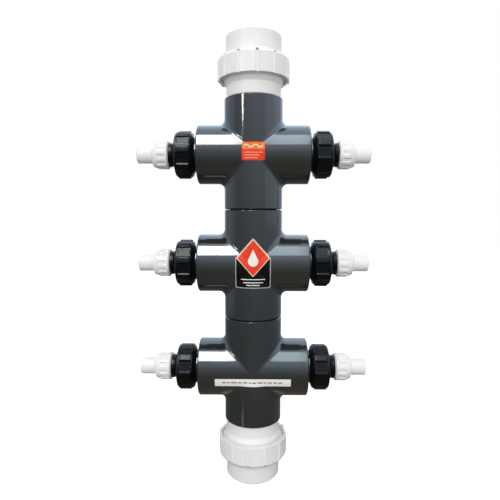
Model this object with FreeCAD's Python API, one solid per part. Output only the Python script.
import FreeCAD, Part
import math
import os

# Salt chlorine generator: a vertical manifold of three 2-inch pipe crosses
# with a pipe union at each end and an electrode cell in each side port.
# Millimetres, +Z up, origin at the mouth of the inlet socket (bottom).

# ---------------------------------------------------------------- dimensions
FITTING_R = 37.1          # outside radius of the 2-inch fittings
SOCKET_R = 30.3           # solvent-weld socket for 60.3 mm pipe
SOCKET_DEPTH = 38.1
BORE_R = 25.4             # clear bore through a fitting
PIPE_R = 30.15            # 2-inch pipe, outside
PIPE_BORE_R = 24.6
RUN_HALF = 69.5           # cross: centre to top or bottom rim
ARM_HALF = 70.6           # cross: centre to side rim
JOINT_GAP = 0.4           # glue line between two crosses
RIM_CHAMFER = 1.3

UNION_LEN = 76.5          # cross rim to the mouth of the pipe union
U_NECK_R = 34.6
U_THREAD_R = 41.0
U_NUT_R = 44.7
U_NUT_RIB_R = 45.7
U_TAIL_R = 35.0
U_NUT_RIBS = 12
U_THREAD_LEAD = 4.2333    # six threads per inch

CELL_NUT_R = 28.0
CELL_NUT_RIB_R = 30.3
CELL_NUT_RIBS = 8
CELL_THREAD_R = 25.2
CELL_BORE_R = 15.2
CELL_PLUG_R = 14.9
SPIGOT_R = 10.67          # half-inch pipe size, outside
CABLE_BORE_R = 7.9
CELL_END = 148.9          # cross centre to the end of the spigot

PLATE_COUNT = 5
PLATE_T = 1.0
PLATE_PITCH = 4.6
PLATE_H = 20.8
PLATE_TIP = 9.0           # cross centre to the tip of the plates
PLATE_ROOT = 59.9
STUD_R = 1.5
STUD_END = 117.6

LABEL_T = 0.3

# heights of the main planes above the inlet mouth
Z_RIM_LOW = UNION_LEN
Z_BOTTOM = Z_RIM_LOW + RUN_HALF
Z_MIDDLE = Z_BOTTOM + 2 * RUN_HALF + JOINT_GAP
Z_TOP = Z_MIDDLE + 2 * RUN_HALF + JOINT_GAP
Z_RIM_HIGH = Z_TOP + RUN_HALF
Z_MOUTH_HIGH = Z_RIM_HIGH + UNION_LEN

V = FreeCAD.Vector
os.makedirs("parts", exist_ok=True)


# ------------------------------------------------------------------- helpers
def ring(points):
    """Solid of revolution about Z from a closed outline of (radius, height).

    A point may carry a third value, which makes the edge that arrives at it
    an arc bulging outwards by that much of a quarter turn.
    """
    edges = []
    n = len(points)
    for i in range(n):
        a, b = points[i], points[(i + 1) % n]
        pa, pb = V(a[0], 0, a[1]), V(b[0], 0, b[1])
        if len(b) > 2:
            # arc through a point pushed away from the chord
            mid = (pa + pb) * 0.5
            chord = pb - pa
            normal = V(chord.z, 0, -chord.x)
            normal.normalize()
            mid = mid + normal * (b[2] * chord.Length)
            edges.append(Part.Arc(pa, mid, pb).toShape())
        else:
            edges.append(Part.LineSegment(pa, pb).toShape())
    face = Part.Face(Part.Wire(edges))
    solid = face.revolve(V(0, 0, 0), V(0, 0, 1), 360)
    if solid.ShapeType != "Solid":
        solid = Part.Solid(Part.Shell(solid.Faces))
    if solid.Volume < 0:
        solid.reverse()
    return solid


def turned(shape, axis, angle):
    s = shape.copy()
    s.rotate(V(0, 0, 0), axis, angle)
    return s


def moved(shape, x=0.0, y=0.0, z=0.0):
    s = shape.copy()
    s.translate(V(x, y, z))
    return s


def to_side(shape, sign, z):
    """Local +Z points out of the port: to +X for sign 1, to -X for sign -1."""
    return moved(turned(shape, V(0, 1, 0), 90 * sign), 0, 0, z)


def to_top(shape):
    return moved(shape, 0, 0, Z_RIM_HIGH)


def to_bottom(shape):
    return moved(turned(shape, V(1, 0, 0), 180), 0, 0, Z_RIM_LOW)


def rib_block(r_in, r_out, width, u0, u1, slope):
    """One grip rib on the +X side, its ends sloping down to the nut."""
    pts = [V(r_in, 0, u0), V(r_out, 0, u0 + slope), V(r_out, 0, u1 - slope),
           V(r_in, 0, u1), V(r_in, 0, u0)]
    face = Part.Face(Part.makePolygon(pts))
    block = face.extrude(V(0, width, 0))
    return moved(block, 0, -width / 2.0, 0)


def group(shapes):
    return Part.makeCompound(shapes)


def save(name, shape):
    if not shape.isValid():
        shape.fix(1e-4, 1e-4, 1e-3)
    shape.exportStep("parts/" + name + ".step")
    print("%-34s solids %d  volume %9.1f  valid %s" % (
        name, len(shape.Solids), shape.Volume, shape.isValid()))


# ----------------------------------------------------------------- crosses
def fitting_outline(half, c=RIM_CHAMFER):
    return ring([(0.0, -half), (FITTING_R - c, -half), (FITTING_R, -half + c),
                 (FITTING_R, half - c), (FITTING_R - c, half), (0.0, half)])


def cross_body():
    run = fitting_outline(RUN_HALF)
    arm = turned(fitting_outline(ARM_HALF), V(0, 1, 0), 90)
    body = run.fuse(arm)
    lead = 0.8
    cut_run = ring([(0.0, -RUN_HALF - 1), (SOCKET_R + lead, -RUN_HALF - 1),
                    (SOCKET_R + lead, -RUN_HALF),
                    (SOCKET_R, -RUN_HALF + lead), (SOCKET_R, -RUN_HALF + SOCKET_DEPTH),
                    (BORE_R, -RUN_HALF + SOCKET_DEPTH), (BORE_R, RUN_HALF - SOCKET_DEPTH),
                    (SOCKET_R, RUN_HALF - SOCKET_DEPTH), (SOCKET_R, RUN_HALF - lead),
                    (SOCKET_R + lead, RUN_HALF), (SOCKET_R + lead, RUN_HALF + 1),
                    (0.0, RUN_HALF + 1)])
    cut_arm = ring([(0.0, -ARM_HALF - 1), (SOCKET_R + lead, -ARM_HALF - 1),
                    (SOCKET_R + lead, -ARM_HALF),
                    (SOCKET_R, -ARM_HALF + lead), (SOCKET_R, -ARM_HALF + SOCKET_DEPTH),
                    (BORE_R, -ARM_HALF + SOCKET_DEPTH), (BORE_R, ARM_HALF - SOCKET_DEPTH),
                    (SOCKET_R, ARM_HALF - SOCKET_DEPTH), (SOCKET_R, ARM_HALF - lead),
                    (SOCKET_R + lead, ARM_HALF), (SOCKET_R + lead, ARM_HALF + 1),
                    (0.0, ARM_HALF + 1)])
    cut_arm = turned(cut_arm, V(0, 1, 0), 90)
    return body.cut(cut_run).cut(cut_arm).removeSplitter()


CROSS = cross_body()
for name, z in (("top_cross", Z_TOP), ("middle_cross", Z_MIDDLE),
                ("bottom_cross", Z_BOTTOM)):
    save(name, moved(CROSS, 0, 0, z))


# ------------------------------------------------- nipples between fittings
def pipe(length):
    c = 1.0
    return ring([(PIPE_BORE_R, 0), (PIPE_R - c, 0), (PIPE_R, c),
                 (PIPE_R, length - c), (PIPE_R - c, length), (PIPE_BORE_R, length)])


COUPLING_LEN = 2 * SOCKET_DEPTH + JOINT_GAP - 0.6
for name, z in (("upper_coupling_nipple", Z_MIDDLE + RUN_HALF + JOINT_GAP / 2),
                ("lower_coupling_nipple", Z_BOTTOM + RUN_HALF + JOINT_GAP / 2)):
    save(name, moved(pipe(COUPLING_LEN), 0, 0, z - COUPLING_LEN / 2))

U_SOCKET_END = 33.0
END_NIPPLE_LEN = SOCKET_DEPTH + U_SOCKET_END - 0.6
END_NIPPLE = moved(pipe(END_NIPPLE_LEN), 0, 0, -SOCKET_DEPTH + 0.3)
save("outlet_nipple", to_top(END_NIPPLE))
save("inlet_nipple", to_bottom(END_NIPPLE))

# ----------------------------------------------------- white pipe unions
# local height u runs from the cross rim (0) to the mouth of the union
U_FACE = 38.0
UNION_BODY = ring([
    (SOCKET_R + 0.8, 0.2), (U_NECK_R - 0.6, 0.2), (U_NECK_R, 0.8), (U_NECK_R, 15.0),
    (39.2, 20.0), (39.2, 24.0), (U_THREAD_R, 25.8), (U_THREAD_R, U_FACE - 1.2),
    (U_THREAD_R - 1.2, U_FACE), (36.4, U_FACE), (36.4, U_FACE - 3.2),
    (32.0, U_FACE - 3.2), (32.0, U_FACE), (BORE_R, U_FACE), (BORE_R, U_SOCKET_END),
    (SOCKET_R, U_SOCKET_END), (SOCKET_R, 1.0)])
save("outlet_union_body", to_top(UNION_BODY))
save("inlet_union_body", to_bottom(UNION_BODY))

U_ORING = Part.makeTorus(34.2, 1.75, V(0, 0, U_FACE - 3.2 + 1.8), V(0, 0, 1))
save("union_o_rings", group([to_top(U_ORING), to_bottom(U_ORING)]))

TAIL_FACE = U_FACE + 0.5
TAIL = ring([
    (BORE_R, TAIL_FACE), (40.6, TAIL_FACE), (40.6, 44.5), (U_TAIL_R, 44.5),
    (U_TAIL_R, UNION_LEN - 1.8), (U_TAIL_R - 1.8, UNION_LEN),
    (SOCKET_R, UNION_LEN), (SOCKET_R, 42.5), (BORE_R, 42.5)])
save("outlet_tailpiece", to_top(TAIL))
save("inlet_tailpiece", to_bottom(TAIL))

U_NUT_LOW = 21.9
U_NUT_TOP = 51.5


def union_nut():
    nut = ring([
        (42.6, U_NUT_LOW), (U_NUT_R - 0.6, U_NUT_LOW), (U_NUT_R, U_NUT_LOW + 0.6),
        (U_NUT_R, 46.0), (37.4, U_NUT_TOP, 0.14), (35.7, U_NUT_TOP), (35.7, 45.0),
        (41.6, 45.0), (41.6, U_NUT_LOW + 1.0)])
    ribs = []
    rib = rib_block(U_NUT_R - 0.8, U_NUT_RIB_R, 4.0, U_NUT_LOW, 47.6, 1.0)
    for k in range(U_NUT_RIBS):
        ribs.append(turned(rib, V(0, 0, 1), 360.0 / U_NUT_RIBS * k))
    return nut.multiFuse(ribs).removeSplitter()


UNION_NUT = union_nut()
# the grip ribs of the two nuts stop at different angles
save("outlet_union_nut", to_top(turned(UNION_NUT, V(0, 0, 1), -84.0)))
save("inlet_union_nut", to_bottom(turned(UNION_NUT, V(0, 0, 1), 68.0)))

# --------------------------------------------------------- side port pieces
# local height u runs from the centre of the cross out through the port
BUSHING = ring([
    (20.3, ARM_HALF - 30.6), (20.3, ARM_HALF + 0.1), (PIPE_R - 0.2, ARM_HALF + 0.1),
    (PIPE_R + 0.05, ARM_HALF - 0.3), (PIPE_R + 0.05, 33.0), (23.6, 33.0),
    (23.6, ARM_HALF - 30.6)])
CELL_FACE = 91.5
CELL_BODY = ring([
    (CELL_BORE_R, 40.3), (20.2, 40.3), (20.2, 74.2),
    (CELL_THREAD_R, 77.4), (CELL_THREAD_R, CELL_FACE - 1.0),
    (CELL_THREAD_R - 1.0, CELL_FACE), (21.1, CELL_FACE), (21.1, CELL_FACE - 2.7),
    (17.9, CELL_FACE - 2.7), (17.9, CELL_FACE), (CELL_BORE_R, CELL_FACE)])
CELL_ORING = Part.makeTorus(19.5, 1.5, V(0, 0, CELL_FACE - 2.7 + 1.55), V(0, 0, 1))


def stud_positions():
    return ((PLATE_PITCH / 2, 5.0), (-PLATE_PITCH / 2, -5.0))


def plate_offsets():
    half = (PLATE_COUNT - 1) / 2.0
    return [(k - half) * PLATE_PITCH for k in range(PLATE_COUNT)]


def cell_holder():
    """Black moulded holder: sealing plug, flange, cone, neck and stub."""
    body = ring([
        (0.0, 60.0), (CELL_PLUG_R - 0.8, 60.0), (CELL_PLUG_R, 60.8), (CELL_PLUG_R, 92.0),
        (22.5, 92.0), (22.5, 96.0), (20.2, 96.0), (20.2, 98.6), (14.6, 103.4),
        (14.6, 104.4), (15.3, 104.9), (15.3, 107.6), (10.6, 107.6), (10.6, 116.4),
        (10.0, 117.0), (0.0, 117.0)])
    for y, x in stud_positions():
        body = body.cut(Part.makeCylinder(STUD_R + 0.05, 60, V(x, y, 59.0), V(0, 0, 1)))
    return body.removeSplitter()


def electrode_plates():
    """Plates on edge: local Y is the depth and local X the height. Their
    roots butt on the holder and the two cross bars carry them."""
    plates = []
    for y in plate_offsets():
        p = Part.makeBox(PLATE_H, PLATE_T, PLATE_ROOT - PLATE_TIP,
                         V(-PLATE_H / 2, y - PLATE_T / 2, PLATE_TIP))
        for _, x in stud_positions():
            hole = Part.makeCylinder(STUD_R + 0.15, PLATE_T + 2,
                                     V(x, y - PLATE_T / 2 - 1, 56.0), V(0, 1, 0))
            p = p.cut(hole)
        plates.append(p)
    return group(plates)


def electrode_terminals():
    """Two titanium studs, each with a bar through the whole stack."""
    studs = []
    for y, x in stud_positions():
        rod = Part.makeCylinder(STUD_R, STUD_END - 56.0, V(x, y, 56.0), V(0, 0, 1))
        bar = Part.makeCylinder(STUD_R, 21.6, V(x, -10.8, 56.0), V(0, 1, 0))
        studs.append(rod.fuse(bar).removeSplitter())
    return group(studs)


def cable_adapter():
    """White reducing adapter: fluted collar, shoulder and plain spigot."""
    body = ring([
        (10.8, 107.9), (16.4, 107.9), (18.0, 109.2), (18.0, 111.2), (17.2, 111.8),
        (17.2, 121.0), (14.8, 127.0, 0.06), (11.6, 129.0), (SPIGOT_R, 129.6),
        (SPIGOT_R, CELL_END - 1.0), (SPIGOT_R - 1.0, CELL_END),
        (CABLE_BORE_R, CELL_END), (CABLE_BORE_R, 118.0), (10.8, 118.0)])
    rib = rib_block(16.6, 18.05, 4.6, 110.6, 121.6, 0.9)
    ribs = [turned(rib, V(0, 0, 1), 30.0 * k) for k in range(12)]
    return body.multiFuse(ribs).removeSplitter()


CELL_NUT_LOW = 77.0
CELL_NUT_TOP = 99.7


def cell_nut():
    nut = ring([
        (26.2, CELL_NUT_LOW), (CELL_NUT_R - 1.2, CELL_NUT_LOW),
        (CELL_NUT_R, CELL_NUT_LOW + 1.4), (CELL_NUT_R, 96.6), (26.2, 98.7),
        (21.4, CELL_NUT_TOP), (20.6, CELL_NUT_TOP), (20.6, 96.3), (23.2, 96.3),
        (23.2, 91.9), (25.7, 91.9), (25.7, CELL_NUT_LOW + 0.5)])
    rib = rib_block(CELL_NUT_R - 1.2, CELL_NUT_RIB_R, 9.0, 78.8, 95.6, 1.6)
    ribs = [turned(rib, V(0, 0, 1), 360.0 / CELL_NUT_RIBS * k)
            for k in range(CELL_NUT_RIBS)]
    return nut.multiFuse(ribs).removeSplitter()


HOLDER = cell_holder()
PLATES = electrode_plates()
TERMINALS = electrode_terminals()
ADAPTER = cable_adapter()
CELL_NUT = cell_nut()

# port: (name, height, side, nut angle, adapter angle)
PORTS = (
    ("top_left", Z_TOP, -1, 8.0, 4.0), ("top_right", Z_TOP, 1, 0.0, 12.0),
    ("middle_left", Z_MIDDLE, -1, 8.0, 20.0), ("middle_right", Z_MIDDLE, 1, 14.0, 0.0),
    ("bottom_left", Z_BOTTOM, -1, 20.0, 9.0), ("bottom_right", Z_BOTTOM, 1, 37.0, 16.0))

cell_rings = []
for port, z, side, nut_turn, adapter_turn in PORTS:
    save("port_bushing_" + port, to_side(BUSHING, side, z))
    save("cell_union_body_" + port, to_side(CELL_BODY, side, z))
    cell_rings.append(to_side(CELL_ORING, side, z))
    save("cell_holder_" + port, to_side(HOLDER, side, z))
    save("electrode_plates_" + port, to_side(PLATES, side, z))
    save("electrode_terminals_" + port, to_side(TERMINALS, side, z))
    save("cable_adapter_" + port,
         to_side(turned(ADAPTER, V(0, 0, 1), adapter_turn), side, z))
    save("cell_nut_" + port, to_side(turned(CELL_NUT, V(0, 0, 1), nut_turn), side, z))
save("cell_o_rings", group(cell_rings))


# ------------------------------------------------------------------- labels
def skin(r, z):
    """Outer form of a cross, grown or shrunk to radius r, no ends."""
    run = Part.makeCylinder(r, 2 * RUN_HALF - 8, V(0, 0, z - RUN_HALF + 4), V(0, 0, 1))
    arm = Part.makeCylinder(r, 2 * ARM_HALF - 8, V(-ARM_HALF + 4, 0, z), V(1, 0, 0))
    return run.fuse(arm)


def label(z, outline):
    """Thin skin on the front of a cross, cut to an outline of (x, height)."""
    pts = [V(x, -60, z + h) for x, h in outline]
    pts.append(pts[0])
    prism = Part.Face(Part.makePolygon(pts)).extrude(V(0, 50, 0))
    shell = skin(FITTING_R + 0.05 + LABEL_T, z).cut(skin(FITTING_R + 0.05, z))
    part = prism.common(shell)
    return part.removeSplitter()


def rounded(x0, x1, h0, h1, r, steps=5):
    pts = []
    for cx, cy, a0 in ((x1 - r, h1 - r, 0), (x0 + r, h1 - r, 90),
                       (x0 + r, h0 + r, 180), (x1 - r, h0 + r, 270)):
        for k in range(steps + 1):
            a = math.radians(a0 + 90.0 * k / steps)
            pts.append((cx + r * math.cos(a), cy + r * math.sin(a)))
    return pts


save("top_label", label(Z_TOP, rounded(-14.0, 14.0, -10.5, 11.5, 1.2)))
# emblem label: a panel with a diamond rising out of its top edge
save("middle_label", label(Z_MIDDLE, [
    (-20.6, -31.0), (20.6, -31.0), (21.8, -29.8), (21.8, 6.6), (20.9, 7.6),
    (1.4, 30.0), (0.0, 30.9), (-1.4, 30.0), (-20.9, 7.6), (-21.8, 6.6), (-21.8, -29.8)]))
save("bottom_label", label(Z_BOTTOM, rounded(-48.0, 48.0, -14.0, -4.0, 0.8)))
